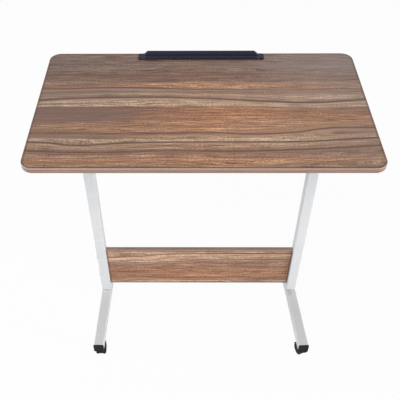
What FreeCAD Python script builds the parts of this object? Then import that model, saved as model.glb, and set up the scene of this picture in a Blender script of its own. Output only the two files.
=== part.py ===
import FreeCAD, Part
import math
import os

# Laptop side table on casters. A faced board with a tablet ledge stands on two telescopic
# square-tube columns, which slide in the columns of a welded base and are held by hand clamps.
# Lengths are in millimetres and angles in degrees. The origin is on the floor under the middle
# of the top: +X to the right, +Y towards the edge that carries the ledge, +Z up.

os.makedirs("parts", exist_ok=True)

# Overall sizes
top_length = 700.0
top_depth = 400.0
table_height = 701.5
column_overhang = 76.0

# Board and its edge band
board_thickness = 12.0
top_corner_radius = 25.0
band_thickness = 1.5
band_arris_radius = 1.0
glue_line = 0.05

# Square tube of the frame
column_side = 25.0
column_wall = 1.2
foot_side = 25.0
foot_wall = 1.2
foot_front_reach = 180.0
foot_rear_reach = 115.0
left_foot_toe_out = 1.6
right_foot_toe_out = 4.1
inner_side = 20.0
inner_wall = 1.2
arm_side = 20.0
arm_wall = 1.2
arm_length = 300.0
tube_inside_radius = 0.8
arm_weld_leg = 3.0
foot_weld_leg = 1.8

# Clearances
slide_clearance = 0.15
plug_clearance = 0.1
thread_clearance = 0.05
hole_clearance = 0.2
pin_clearance = 0.05
stack_gap = 0.3
overrun = 5.0
match_distance = 0.02
match_angle = 1.0

# Travel of the top, and the guides of the telescopic columns
slide_down = 100.0
slide_stop_gap = 6.5
slide_floor_gap = 5.2
collar_lip = 3.0
collar_overhang = 1.0
collar_depth = 14.0
collar_round = 0.8
glide_head = 4.0
glide_plug_depth = 15.0
glide_wall = 1.6

# Hand clamps
clamp_drop = 28.0
clamp_screw_diameter = 8.0
clamp_nut_side = 13.0
clamp_nut_thickness = 6.5
clamp_tip_diameter = 6.0
clamp_tip_length = 2.0
knob_diameter = 36.0
knob_thickness = 14.0
knob_hub_diameter = 17.0
knob_hub_length = 5.0
knob_standoff = 2.0
knob_round = 3.5
knob_flutes = 8
knob_flute_radius = 5.0
knob_flute_depth = 1.8
knob_screw_depth = 13.0

# Arms under the top and their fixings
arm_cap_flange = 2.5
arm_cap_chamfer = 0.8
arm_cap_plug = 10.0
arm_cap_wall = 1.6
arm_screw_reach = 120.0
arm_screw_diameter = 6.0
arm_screw_head_diameter = 11.0
arm_screw_head_height = 3.4
arm_screw_chamfer = 1.0
insert_diameter = 9.0
insert_length = 9.5
insert_screw_overlap = 8.0

# Tablet ledge
ledge_setback = 4.0
ledge_depth = 23.3
ledge_base_length = 270.0
ledge_end_slope = 11.5
rear_lip_height = 10.0
rear_lip_crest = 3.5
shoulder_reach = 8.0
shoulder_height = 7.6
groove_start = 10.0
groove_width = 7.0
groove_floor = 2.5
front_lip_height = 6.0
front_lip_rise = 1.6
front_lip_slope = 1.6
ledge_round = 0.7
lug_length = 10.5
lug_thickness = 2.3
lug_corner_radius = 5.0
ledge_screw_reach = 17.5
ledge_screw_diameter = 3.5
ledge_screw_depth = 9.0
ledge_screw_head_diameter = 7.0
ledge_screw_head_height = 2.2
ledge_screw_chamfer = 0.8

# Lower panel and its cross-dowel joints
panel_thickness = 12.0
panel_height = 141.0
panel_lift = 25.3
panel_band_thickness = 1.0
panel_arris_radius = 0.8
panel_bolt_edge = 34.0
panel_bolt_diameter = 6.0
panel_bolt_length = 55.0
panel_bolt_head_diameter = 11.0
panel_bolt_head_height = 3.0
panel_bolt_chamfer = 1.0
dowel_diameter = 10.0
dowel_length = 10.0
dowel_inset = 24.0

# Foot end caps
cap_flange = 4.0
cap_overhang = 1.0
cap_round = 1.2
cap_plug_depth = 12.0
cap_plug_wall = 1.8
cap_dish_margin = 4.0
cap_dish_depth = 0.8

# Casters: twin wheels on one axle, trailing behind a vertical stem
stem_inset = 33.0
stem_thread_diameter = 8.0
stem_thread_length = 18.0
stem_flange_across = 13.0
stem_flange_height = 2.6
stem_pin_diameter = 6.0
stem_nut_across = 13.0
stem_nut_height = 6.5
caster_headroom = 8.0
caster_trail = 11.0
wheel_diameter = 32.0
wheel_width = 6.6
wheel_arris = 1.1
wheel_rim = 3.2
wheel_dish_depth = 1.3
wheel_hub_diameter = 12.0
wheel_gap = 0.35
axle_diameter = 4.0
axle_cover = 1.6
boss_wall = 1.75
web_cover = 0.2
web_radius = 15.0
hood_gap = 0.9
hood_shell = 1.7
hood_lift = 3.0
crown_diameter = 16.0
crown_height = 1.6
socket_rise = 3.5

# Brake pedals of the rear casters
pedal_pivot_radius = 11.0
pedal_pivot_angle = 48.0
pedal_pin_diameter = 3.0
pedal_pin_cover = 0.5
pedal_arm_width = 5.0
pedal_arm_height = 4.0
pedal_arm_tail = 3.0
pedal_arm_reach = 9.4
pedal_length = 6.0
pedal_width = 16.0
pedal_thickness = 2.6
pedal_round = 1.0
pedal_slot_clearance = 0.3
pedal_slot_depth = 4.5
pedal_slot_half_height = 6.5

# How far each caster is turned from straight, anticlockwise seen from above
front_left_turn = 1.6
front_right_turn = 13.9
rear_left_turn = 5.0
rear_right_turn = -7.0

# Levels and places that follow from the sizes
wheel_radius = wheel_diameter / 2
foot_bottom = wheel_diameter + caster_headroom
foot_top = foot_bottom + foot_side
board_bottom = table_height - board_thickness
arm_bottom = board_bottom - arm_side
column_top = arm_bottom - slide_stop_gap - slide_down - collar_lip
column_length = column_top - foot_top
column_spacing = top_length - 2 * column_overhang
column_x = (column_spacing - column_side) / 2
column_bore = column_side - 2 * column_wall
clamp_level = column_top - clamp_drop
foot_length = foot_front_reach + column_side + foot_rear_reach
ledge_rear = top_depth / 2 - ledge_setback
ledge_screw_x = (ledge_base_length + lug_length) / 2
ledge_screw_y = ledge_rear - ledge_screw_reach
panel_length = column_spacing - 2 * column_side
panel_bottom = foot_top + panel_lift
panel_bolt_levels = (panel_bottom + panel_bolt_edge, panel_bottom + panel_height - panel_bolt_edge)
glide_bottom = max(panel_bolt_levels) + panel_bolt_diameter / 2 + slide_floor_gap + slide_down
inner_bottom = glide_bottom + glide_head
inner_length = arm_bottom - inner_bottom
hood_top = foot_bottom - stem_flange_height - stack_gap
hood_inner_radius = wheel_radius + hood_gap
hood_outer_radius = hood_inner_radius + hood_shell
boss_diameter = stem_pin_diameter + 2 * (pin_clearance + boss_wall)
web_width = boss_diameter + 2 * web_cover
caster_width = web_width + 2 * (wheel_gap + wheel_width)

SIDES = {"left": -1, "right": 1}
ENDS = {"front": -1, "rear": 1}
TOE_OUTS = {-1: left_foot_toe_out, 1: right_foot_toe_out}
FOOT_ENDS = {"front": -column_side / 2 - foot_front_reach, "rear": column_side / 2 + foot_rear_reach}
STEM_PLACES = {name: FOOT_ENDS[name] - ENDS[name] * stem_inset for name in ENDS}
CASTER_TURNS = {
    ("front", "left"): front_left_turn,
    ("front", "right"): front_right_turn,
    ("rear", "left"): rear_left_turn,
    ("rear", "right"): rear_right_turn,
}
ORIGIN = FreeCAD.Vector(0, 0, 0)
X_AXIS = FreeCAD.Vector(1, 0, 0)
Y_AXIS = FreeCAD.Vector(0, 1, 0)
Z_AXIS = FreeCAD.Vector(0, 0, 1)
QUARTER_TURN = 90
HALF_TURN = 180
FULL_TURN = 360
HEX_SIDES = 6


# Basic shapes and placing

def block(size_x, size_y, size_z, centre_x, centre_y, low_z):
    """A box from its sizes, the middle of its plan and its lowest level."""
    corner = FreeCAD.Vector(centre_x - size_x / 2, centre_y - size_y / 2, low_z)
    return Part.makeBox(size_x, size_y, size_z, corner)


def rod(diameter, length, x, y, z, axis):
    """A round bar that starts at a point and runs along an axis."""
    return Part.makeCylinder(diameter / 2, length, FreeCAD.Vector(x, y, z), axis)


def straight_edges(shape, axis):
    """The straight edges of a shape that lie along an axis."""
    found = []
    least = math.cos(math.radians(match_angle))
    for edge in shape.Edges:
        if isinstance(edge.Curve, Part.Line) and abs(edge.Curve.Direction.dot(axis)) > least:
            found.append(edge)
    return found


def edges_at(shape, axis, level):
    """The edges of a shape that lie wholly in the plane square to an axis at one level."""
    found = []
    for edge in shape.Edges:
        ends = [vertex.Point.dot(axis) for vertex in edge.Vertexes]
        if all(abs(end - level) < match_distance for end in ends):
            found.append(edge)
    return found


def rounded_block(size_x, size_y, size_z, centre_x, centre_y, low_z, radius):
    """A box whose four upright edges are rounded."""
    body = block(size_x, size_y, size_z, centre_x, centre_y, low_z)
    return body.makeFillet(radius, straight_edges(body, Z_AXIS))


def square_tube(side, wall, length):
    """A length of square tube on the Z axis, with its lower end at Z = 0."""
    bore = side - 2 * wall
    outside = rounded_block(side, side, length, 0, 0, 0, tube_inside_radius + wall)
    inside = rounded_block(bore, bore, length + 2 * overrun, 0, 0, -overrun, tube_inside_radius)
    return outside.cut(inside)


def hex_bar(across, height, low_z):
    """A hexagonal bar on the Z axis, given by its size across the flats."""
    step = math.radians(FULL_TURN / HEX_SIDES)
    radius = across / 2 / math.cos(step / 2)
    corners = []
    for index in range(HEX_SIDES + 1):
        angle = step * index
        corners.append(FreeCAD.Vector(radius * math.cos(angle), radius * math.sin(angle), low_z))
    return Part.Face(Part.makePolygon(corners)).extrude(Z_AXIS * height)


def screw_head(diameter, height, chamfer):
    """A low chamfered screw head on the Z axis: its seat is at Z = 0 and its crown points up."""
    head = Part.makeCylinder(diameter / 2, height)
    return head.makeChamfer(chamfer, edges_at(head, Z_AXIS, height))


def moved(shape, x, y, z):
    """A copy of a shape moved by the three distances."""
    copy = shape.copy()
    copy.translate(FreeCAD.Vector(x, y, z))
    return copy


def turned(shape, axis, angle):
    """A copy of a shape turned about an axis through the origin."""
    copy = shape.copy()
    copy.rotate(ORIGIN, axis, angle)
    return copy


def on_column(shape, side):
    """Put a piece drawn on a column at X = 0, with +X pointing outwards, on its own column."""
    facing = turned(shape, Z_AXIS, 0 if side > 0 else HALF_TURN)
    return moved(facing, side * column_x, 0, 0)


def on_foot(shape, side):
    """Turn a piece drawn on a foot along Y by the toe-out, and move it under its column."""
    return moved(turned(shape, Z_AXIS, side * TOE_OUTS[side]), side * column_x, 0, 0)


def on_stem(shape, end_name, side_name):
    """Put a caster piece, drawn with its stem on the Z axis and trailing to -Y, under its foot."""
    swung = turned(shape, Z_AXIS, CASTER_TURNS[end_name, side_name])
    return on_foot(moved(swung, 0, STEM_PLACES[end_name], 0), SIDES[side_name])


def write(node, shape):
    """Save one sub-part."""
    shape.exportStep("parts/" + node + ".step")


# Top

def tabletop():
    """The board inside its edge band, with blind holes for the inserts and the ledge screws."""
    edge = band_thickness + glue_line
    board = rounded_block(top_length - 2 * edge, top_depth - 2 * edge, board_thickness,
                          0, 0, board_bottom, top_corner_radius - edge)
    insert_hole = insert_diameter + 2 * thread_clearance
    for side in SIDES.values():
        for end in ENDS.values():
            board = board.cut(rod(insert_hole, insert_length + overrun, side * column_x,
                                  end * arm_screw_reach, board_bottom - overrun, Z_AXIS))
        board = board.cut(rod(ledge_screw_diameter + 2 * thread_clearance, ledge_screw_depth + stack_gap,
                              side * ledge_screw_x, ledge_screw_y, table_height, -Z_AXIS))
    return board


def tabletop_edge_band():
    """The plastic band glued round the board, with both its arrises rounded."""
    outside = rounded_block(top_length, top_depth, board_thickness, 0, 0, board_bottom, top_corner_radius)
    arrises = edges_at(outside, Z_AXIS, board_bottom) + edges_at(outside, Z_AXIS, table_height)
    outside = outside.makeFillet(band_arris_radius, arrises)
    inside = rounded_block(top_length - 2 * band_thickness, top_depth - 2 * band_thickness,
                           board_thickness + 2 * overrun, 0, 0, board_bottom - overrun,
                           top_corner_radius - band_thickness)
    return outside.cut(inside)


def ledge_profile():
    """The ledge's section: distance from its rear face, and height above the top."""
    return (
        (0, 0),
        (0, rear_lip_height),
        (rear_lip_crest, rear_lip_height),
        (shoulder_reach, shoulder_height),
        (groove_start, groove_floor),
        (groove_start + groove_width, groove_floor),
        (groove_start + groove_width + front_lip_rise, front_lip_height),
        (ledge_depth - front_lip_slope, front_lip_height),
        (ledge_depth, 0),
    )


def tablet_ledge():
    """The moulded ledge: high rear lip, groove for a tablet's edge, low front lip and two lugs."""
    corners = []
    for reach, rise in ledge_profile():
        corners.append(FreeCAD.Vector(-ledge_base_length / 2, ledge_rear - reach, table_height + rise))
    section = Part.Face(Part.makePolygon(corners + [corners[0]]))
    bar = section.extrude(X_AXIS * ledge_base_length)
    crests = []
    for edge in straight_edges(bar, X_AXIS):
        if edge.Vertexes[0].Z > table_height + groove_floor + ledge_round:
            crests.append(edge)
    bar = bar.makeFillet(ledge_round, crests)
    for side in SIDES.values():
        bar = bar.cut(ledge_end_cutter(side))
        bar = bar.fuse(ledge_lug(side))
    return bar.removeSplitter()


def ledge_end_cutter(side):
    """The wedge that slopes one end of the ledge back as it rises."""
    half = ledge_base_length / 2
    corners = (
        (half, 0),
        (half + overrun, 0),
        (half + overrun, 2 * rear_lip_height),
        (half - 2 * ledge_end_slope, 2 * rear_lip_height),
    )
    points = [FreeCAD.Vector(side * x, ledge_rear + overrun, table_height + z) for x, z in corners]
    return Part.Face(Part.makePolygon(points + [points[0]])).extrude(-Y_AXIS * (ledge_depth + 2 * overrun))


def ledge_lug(side):
    """One flat screw lug, rounded at its two outer corners and drilled for its screw."""
    root = ledge_base_length / 2 - ledge_end_slope
    length = ledge_base_length / 2 + lug_length - root
    lug = block(length, ledge_depth, lug_thickness, side * (root + length / 2), ledge_rear - ledge_depth / 2,
                table_height)
    tips = [edge for edge in straight_edges(lug, Z_AXIS) if abs(edge.Vertexes[0].X) > ledge_base_length / 2]
    lug = lug.makeFillet(lug_corner_radius, tips)
    hole = rod(ledge_screw_diameter + 2 * hole_clearance, lug_thickness + 2 * overrun, side * ledge_screw_x,
               ledge_screw_y, table_height - overrun, Z_AXIS)
    return lug.cut(hole)


def ledge_screws():
    """The two screws of the ledge."""
    screws = []
    seat = table_height + lug_thickness
    for side in SIDES.values():
        shank = rod(ledge_screw_diameter, ledge_screw_depth + lug_thickness, side * ledge_screw_x,
                    ledge_screw_y, seat, -Z_AXIS)
        head = screw_head(ledge_screw_head_diameter, ledge_screw_head_height, ledge_screw_chamfer)
        screws.append(shank.fuse(moved(head, side * ledge_screw_x, ledge_screw_y, seat)))
    return Part.makeCompound(screws)


def support_arm(side):
    """The square tube under the top that an inner column is welded to, drilled for its screws."""
    arm = moved(turned(square_tube(arm_side, arm_wall, arm_length), X_AXIS, -QUARTER_TURN),
                0, -arm_length / 2, arm_bottom + arm_side / 2)
    for end in ENDS.values():
        hole = rod(arm_screw_diameter + 2 * hole_clearance, arm_side + 2 * overrun, 0, end * arm_screw_reach,
                   arm_bottom - overrun, Z_AXIS)
        arm = arm.cut(hole)
    return on_column(arm, side)


def plug_flange(side, wall, thickness):
    """The flange of an end cap, drawn on the Z axis with the tube's end at Z = 0."""
    return rounded_block(side, side, thickness, 0, 0, 0, tube_inside_radius + wall)


def tube_plug(side, wall, depth, plug_wall):
    """The hollow part of an end cap that sits in a tube, which ends at Z = 0 and lies below."""
    plug_side = side - 2 * wall - 2 * plug_clearance
    plug = rounded_block(plug_side, plug_side, depth, 0, 0, -depth, tube_inside_radius)
    hollow_side = plug_side - 2 * plug_wall
    hollow = block(hollow_side, hollow_side, depth + overrun, 0, 0, -depth - overrun)
    return plug.cut(hollow)


def arm_end_caps():
    """The four flush plugs in the ends of the arms."""
    caps = []
    face = plug_flange(arm_side, arm_wall, arm_cap_flange)
    face = face.makeChamfer(arm_cap_chamfer, edges_at(face, Z_AXIS, arm_cap_flange))
    cap = face.fuse(tube_plug(arm_side, arm_wall, arm_cap_plug, arm_cap_wall))
    for side in SIDES.values():
        for end in ENDS.values():
            lying = turned(cap, X_AXIS, -end * QUARTER_TURN)
            caps.append(on_column(moved(lying, 0, end * arm_length / 2, arm_bottom + arm_side / 2), side))
    return Part.makeCompound(caps)


def tabletop_screws():
    """The four machine screws that hold the arms to the inserts in the board."""
    screws = []
    head = screw_head(arm_screw_head_diameter, arm_screw_head_height, arm_screw_chamfer)
    shank = rod(arm_screw_diameter, arm_side + insert_screw_overlap, 0, 0, 0, Z_AXIS)
    screw = turned(head, X_AXIS, HALF_TURN).fuse(shank)
    for side in SIDES.values():
        for end in ENDS.values():
            screws.append(moved(screw, side * column_x, end * arm_screw_reach, arm_bottom))
    return Part.makeCompound(screws)


def insert_nuts():
    """The four threaded inserts pressed into the underside of the board."""
    inserts = []
    body = rod(insert_diameter, insert_length, 0, 0, 0, Z_AXIS)
    thread = rod(arm_screw_diameter + 2 * thread_clearance, insert_length + 2 * overrun,
                 0, 0, -overrun, Z_AXIS)
    insert = body.cut(thread)
    for side in SIDES.values():
        for end in ENDS.values():
            inserts.append(moved(insert, side * column_x, end * arm_screw_reach, board_bottom))
    return Part.makeCompound(inserts)


def inner_column(side):
    """The upper, sliding tube of a column."""
    return on_column(moved(square_tube(inner_side, inner_wall, inner_length), 0, 0, inner_bottom), side)


def inner_column_glide(side):
    """The moulded foot of an inner column, which guides it in the outer tube."""
    head_side = column_bore - 2 * slide_clearance
    plug_side = inner_side - 2 * inner_wall - 2 * plug_clearance
    hollow_side = plug_side - 2 * glide_wall
    head = rounded_block(head_side, head_side, glide_head, 0, 0, inner_bottom - glide_head,
                         tube_inside_radius)
    plug = rounded_block(plug_side, plug_side, glide_plug_depth, 0, 0, inner_bottom, tube_inside_radius)
    hollow = block(hollow_side, hollow_side, glide_plug_depth + overrun, 0, 0, inner_bottom)
    return on_column(head.fuse(plug.cut(hollow)), side)


def weld_beads(leg, width, half_span, level, rising, side):
    """Two quarter-round beads in the corners before and behind a column, over or under a level."""
    beads = []
    for end in ENDS.values():
        bead = Part.makeCylinder(leg, width, ORIGIN, X_AXIS)
        corner = block(width, leg, leg, width / 2, end * leg / 2, 0 if rising else -leg)
        beads.append(moved(bead.common(corner), side * column_x - width / 2, end * half_span, level))
    return beads


def arm_welds():
    """The beads between the inner columns and the arms."""
    width = inner_side - 2 * (tube_inside_radius + inner_wall)
    beads = []
    for side in SIDES.values():
        beads += weld_beads(arm_weld_leg, width, inner_side / 2, arm_bottom, False, side)
    return Part.makeCompound(beads)


# Base

def column_tube(side):
    """The lower tube of a column, drilled for its clamp screw and for the panel bolts."""
    tube = moved(square_tube(column_side, column_wall, column_length), 0, 0, foot_top)
    clamp_hole = rod(clamp_screw_diameter + 2 * hole_clearance, column_side, 0, 0, clamp_level, X_AXIS)
    tube = tube.cut(clamp_hole)
    for level in panel_bolt_levels:
        bolt_hole = rod(panel_bolt_diameter + 2 * hole_clearance, column_side + 2 * overrun,
                        -column_side / 2 - overrun, 0, level, X_AXIS)
        tube = tube.cut(bolt_hole)
    return on_column(tube, side)


def foot_tube(side):
    """A foot, lying under its column, with a hole near each end for a caster stem."""
    foot = moved(turned(square_tube(foot_side, foot_wall, foot_length), X_AXIS, -QUARTER_TURN),
                 0, FOOT_ENDS["front"], foot_bottom + foot_side / 2)
    for place in STEM_PLACES.values():
        hole = rod(stem_thread_diameter + 2 * hole_clearance, foot_side / 2 + overrun, 0, place,
                   foot_bottom - overrun, Z_AXIS)
        foot = foot.cut(hole)
    return on_foot(foot, side)


def foot_welds():
    """The beads between the columns and the feet."""
    width = column_side - 2 * (tube_inside_radius + column_wall)
    beads = []
    for side in SIDES.values():
        beads += weld_beads(foot_weld_leg, width, column_side / 2, foot_top, True, side)
    return Part.makeCompound(beads)


def foot_cap(end_name, side_name):
    """The moulded cap in one end of a foot, with a shallow dish in its face."""
    flange_side = foot_side + 2 * cap_overhang
    face = plug_flange(flange_side, foot_wall, cap_flange)
    face = face.makeFillet(cap_round, edges_at(face, Z_AXIS, cap_flange))
    cap = face.fuse(tube_plug(foot_side, foot_wall, cap_plug_depth, cap_plug_wall))
    dish_side = flange_side - 2 * cap_dish_margin
    cap = cap.cut(rounded_block(dish_side, dish_side, cap_dish_depth + overrun, 0, 0,
                                cap_flange - cap_dish_depth, tube_inside_radius + foot_wall))
    lying = turned(cap, X_AXIS, -ENDS[end_name] * QUARTER_TURN)
    return on_foot(moved(lying, 0, FOOT_ENDS[end_name], foot_bottom + foot_side / 2), SIDES[side_name])


def column_collar(side):
    """The moulded collar in the mouth of an outer tube, which guides the inner tube."""
    lip_side = column_side + 2 * collar_overhang
    sleeve_side = column_bore - 2 * plug_clearance
    opening_side = inner_side + 2 * slide_clearance
    lip = rounded_block(lip_side, lip_side, collar_lip, 0, 0, column_top, tube_inside_radius + column_wall)
    lip = lip.makeFillet(collar_round, edges_at(lip, Z_AXIS, column_top + collar_lip))
    sleeve = rounded_block(sleeve_side, sleeve_side, collar_depth, 0, 0, column_top - collar_depth,
                           tube_inside_radius)
    opening = rounded_block(opening_side, opening_side, collar_depth + collar_lip + 2 * overrun, 0, 0,
                            column_top - collar_depth - overrun, tube_inside_radius + inner_wall)
    return on_column(lip.fuse(sleeve).cut(opening), side)


def clamp_nuts():
    """The two square nuts welded over the clamp holes."""
    nuts = []
    for side in SIDES.values():
        nut = block(clamp_nut_thickness, clamp_nut_side, clamp_nut_side,
                    (column_side + clamp_nut_thickness) / 2, 0, clamp_level - clamp_nut_side / 2)
        thread = rod(clamp_screw_diameter + 2 * thread_clearance, clamp_nut_thickness + 2 * overrun,
                     column_side / 2 - overrun, 0, clamp_level, X_AXIS)
        nuts.append(on_column(nut.cut(thread), side))
    return Part.makeCompound(nuts)


def panel_bolt_holes():
    """The four bolt holes along X through the ends of the panel, as one tool."""
    holes = []
    diameter = panel_bolt_diameter + 2 * hole_clearance
    reach = panel_bolt_length - column_side + stack_gap + overrun
    for side in SIDES.values():
        for level in panel_bolt_levels:
            holes.append(rod(diameter, reach, side * (panel_length / 2 + overrun), 0, level, -X_AXIS * side))
    return Part.makeCompound(holes)


def lower_panel():
    """The board between the columns, drilled for the bolts and from behind for the cross dowels."""
    edge = panel_band_thickness + glue_line
    panel = block(panel_length - 2 * edge, panel_thickness, panel_height - 2 * edge,
                  0, 0, panel_bottom + edge)
    panel = panel.cut(panel_bolt_holes())
    for side in SIDES.values():
        x = side * (panel_length / 2 - dowel_inset)
        for level in panel_bolt_levels:
            panel = panel.cut(rod(dowel_diameter + 2 * hole_clearance, dowel_length + overrun,
                                  x, panel_thickness / 2 + overrun, level, -Y_AXIS))
    return panel


def panel_edge_band():
    """The band round the panel, rounded at its front and rear arrises and open for the bolts."""
    outside = block(panel_length, panel_thickness, panel_height, 0, 0, panel_bottom)
    half = panel_thickness / 2
    arrises = edges_at(outside, Y_AXIS, half) + edges_at(outside, Y_AXIS, -half)
    outside = outside.makeFillet(panel_arris_radius, arrises)
    inside = block(panel_length - 2 * panel_band_thickness, panel_thickness + 2 * overrun,
                   panel_height - 2 * panel_band_thickness, 0, 0, panel_bottom + panel_band_thickness)
    return outside.cut(inside).cut(panel_bolt_holes())


def panel_bolts():
    """The four bolts that pull the columns against the ends of the panel."""
    bolts = []
    head = turned(screw_head(panel_bolt_head_diameter, panel_bolt_head_height, panel_bolt_chamfer),
                  Y_AXIS, QUARTER_TURN)
    bolt = head.fuse(rod(panel_bolt_diameter, panel_bolt_length, 0, 0, 0, -X_AXIS))
    for side in SIDES.values():
        for level in panel_bolt_levels:
            bolts.append(on_column(moved(bolt, column_side / 2, 0, level), side))
    return Part.makeCompound(bolts)


def panel_cross_dowels():
    """The four barrel nuts in the back of the panel."""
    dowels = []
    for side in SIDES.values():
        x = side * (panel_length / 2 - dowel_inset)
        for level in panel_bolt_levels:
            barrel = rod(dowel_diameter, dowel_length, x, panel_thickness / 2, level, -Y_AXIS)
            thread = rod(panel_bolt_diameter + 2 * thread_clearance, dowel_diameter + 2 * overrun,
                         x - dowel_diameter / 2 - overrun, 0, level, X_AXIS)
            dowels.append(barrel.cut(thread))
    return Part.makeCompound(dowels)


# Hand clamps

def clamp_tip(side):
    """The nylon tip that bears on the inner tube and doesn't turn with the screw."""
    tip = rod(clamp_tip_diameter, clamp_tip_length, inner_side / 2, 0, clamp_level, X_AXIS)
    return on_column(tip, side)


def clamp_screw(side):
    """The threaded stud between the tip and the knob."""
    start = inner_side / 2 + clamp_tip_length
    end = column_side / 2 + clamp_nut_thickness + knob_standoff + knob_screw_depth
    return on_column(rod(clamp_screw_diameter, end - start, start, 0, clamp_level, X_AXIS), side)


def clamp_knob(side):
    """The fluted hand knob, moulded over the end of the screw."""
    grip = Part.makeCylinder(knob_diameter / 2, knob_thickness, FreeCAD.Vector(0, 0, knob_hub_length))
    grip = grip.makeFillet(knob_round, edges_at(grip, Z_AXIS, knob_hub_length + knob_thickness))
    flute_place = knob_diameter / 2 + knob_flute_radius - knob_flute_depth
    flute = rod(2 * knob_flute_radius, knob_thickness + 2 * overrun, flute_place, 0,
                knob_hub_length - overrun, Z_AXIS)
    for index in range(knob_flutes):
        grip = grip.cut(turned(flute, Z_AXIS, FULL_TURN / knob_flutes * index))
    knob = grip.fuse(Part.makeCylinder(knob_hub_diameter / 2, knob_hub_length))
    socket = rod(clamp_screw_diameter + 2 * thread_clearance, knob_screw_depth + overrun,
                 0, 0, -overrun, Z_AXIS)
    knob = turned(knob.cut(socket), Y_AXIS, QUARTER_TURN)
    reach = column_side / 2 + clamp_nut_thickness + knob_standoff
    return on_column(moved(knob, reach, 0, clamp_level), side)


# Casters, drawn with the stem on the Z axis and the wheels trailing to -Y

def stem_nuts():
    """The four nuts welded inside the feet, over the stem holes."""
    nuts = []
    low = foot_bottom + foot_wall
    for side in SIDES.values():
        for place in STEM_PLACES.values():
            nut = hex_bar(stem_nut_across, stem_nut_height, low)
            thread = rod(stem_thread_diameter + 2 * thread_clearance, stem_nut_height + 2 * overrun, 0, 0,
                         low - overrun, Z_AXIS)
            nuts.append(on_foot(moved(nut.cut(thread), 0, place, 0), side))
    return Part.makeCompound(nuts)


def caster_stem(end_name, side_name):
    """The steel stem: a thread in the foot, a hexagonal flange under it and a smooth pin below."""
    thread = rod(stem_thread_diameter, stem_thread_length, 0, 0, foot_bottom, Z_AXIS)
    flange = hex_bar(stem_flange_across, stem_flange_height, foot_bottom - stem_flange_height)
    pin_end = socket_floor() + stack_gap
    pin = rod(stem_pin_diameter, foot_bottom - pin_end, 0, 0, pin_end, Z_AXIS)
    stem = thread.fuse(flange).fuse(pin)
    return on_foot(moved(stem, 0, STEM_PLACES[end_name], 0), SIDES[side_name])


def socket_floor():
    """The level of the bottom of the hood's blind socket."""
    return wheel_radius + socket_rise


def disc(radius, width):
    """A disc centred on the origin, with its axis along X."""
    return Part.makeCylinder(radius, width, FreeCAD.Vector(-width / 2, 0, 0), X_AXIS)


def about_axle(shape):
    """Move a piece drawn about the X axis to the caster's axle."""
    return moved(shape, 0, -caster_trail, wheel_radius)


def caster_hood(end_name, side_name):
    """The moulded body: a web between the wheels, a guard over them and a boss for the stem."""
    guard = disc(hood_outer_radius, caster_width).cut(disc(hood_inner_radius, caster_width + 2 * overrun))
    filling = disc((hood_inner_radius + hood_outer_radius) / 2, web_width)
    above = block(caster_width, 2 * hood_outer_radius, hood_outer_radius, 0, 0, hood_lift)
    hood = about_axle(guard.fuse(filling).common(above).fuse(disc(web_radius, web_width)))
    boss_low = socket_floor() - boss_wall
    boss = rod(boss_diameter, hood_top - boss_low, 0, 0, boss_low, Z_AXIS)
    crown = rod(crown_diameter, crown_height, 0, 0, hood_top - crown_height, Z_AXIS)
    hood = hood.fuse(boss).fuse(crown)
    hood = hood.cut(rod(stem_pin_diameter + 2 * pin_clearance, hood_top - socket_floor() + overrun, 0, 0,
                        socket_floor(), Z_AXIS))
    hood = hood.cut(about_axle(rod(axle_diameter + 2 * pin_clearance, web_width + 2 * overrun,
                                   -web_width / 2 - overrun, 0, 0, X_AXIS)))
    if end_name == "rear":
        hood = hood.cut(pedal_slot()).cut(pedal_pin(pin_clearance))
    return on_stem(hood, end_name, side_name)


def caster_axle(end_name, side_name):
    """The steel axle through the hood and both wheels."""
    half = web_width / 2 + wheel_gap + wheel_width - axle_cover
    return on_stem(about_axle(rod(axle_diameter, 2 * half, -half, 0, 0, X_AXIS)), end_name, side_name)


def caster_wheel(end_name, side_name, facing):
    """A moulded wheel, turned from one section: blind bore, tread with eased edges, dished face."""
    outer = wheel_width
    rim = wheel_radius - wheel_rim
    section = (
        (0, axle_diameter / 2 + pin_clearance),
        (0, wheel_radius - wheel_arris),
        (wheel_arris, wheel_radius),
        (outer - wheel_arris, wheel_radius),
        (outer, wheel_radius - wheel_arris),
        (outer, rim),
        (outer - wheel_dish_depth, rim - wheel_dish_depth),
        (outer - wheel_dish_depth, wheel_hub_diameter / 2),
        (outer, wheel_hub_diameter / 2 - wheel_dish_depth),
        (outer, 0),
        (outer - axle_cover + stack_gap, 0),
        (outer - axle_cover + stack_gap, axle_diameter / 2 + pin_clearance),
    )
    points = [FreeCAD.Vector(x, 0, radius) for x, radius in section]
    wheel = Part.Face(Part.makePolygon(points + [points[0]])).revolve(ORIGIN, X_AXIS, FULL_TURN)
    wheel = moved(wheel, web_width / 2 + wheel_gap, 0, 0)
    if facing < 0:
        wheel = turned(wheel, Z_AXIS, HALF_TURN)
    return on_stem(about_axle(wheel), end_name, side_name)


# Brake pedals, in the trailing side of the rear hoods

def about_pivot(shape):
    """Place a piece whose X axis is the pedal's pin and whose +Z points away from the axle."""
    raised = moved(shape, 0, 0, pedal_pivot_radius)
    return about_axle(turned(raised, X_AXIS, QUARTER_TURN - pedal_pivot_angle))


def pedal_slot():
    """The slot through the web and the guard that the pedal's arm works in."""
    width = pedal_arm_width + 2 * pedal_slot_clearance
    height = pedal_slot_depth + hood_outer_radius
    return about_pivot(block(width, 2 * pedal_slot_half_height, height, 0, 0, -pedal_slot_depth))


def pedal_pin(grow):
    """The pin of a pedal, or with a growth the hole for it."""
    length = web_width - 2 * pedal_pin_cover
    if grow > 0:
        length = web_width + 2 * overrun
    return about_pivot(rod(pedal_pin_diameter + 2 * grow, length, -length / 2, 0, 0, X_AXIS))


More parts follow.
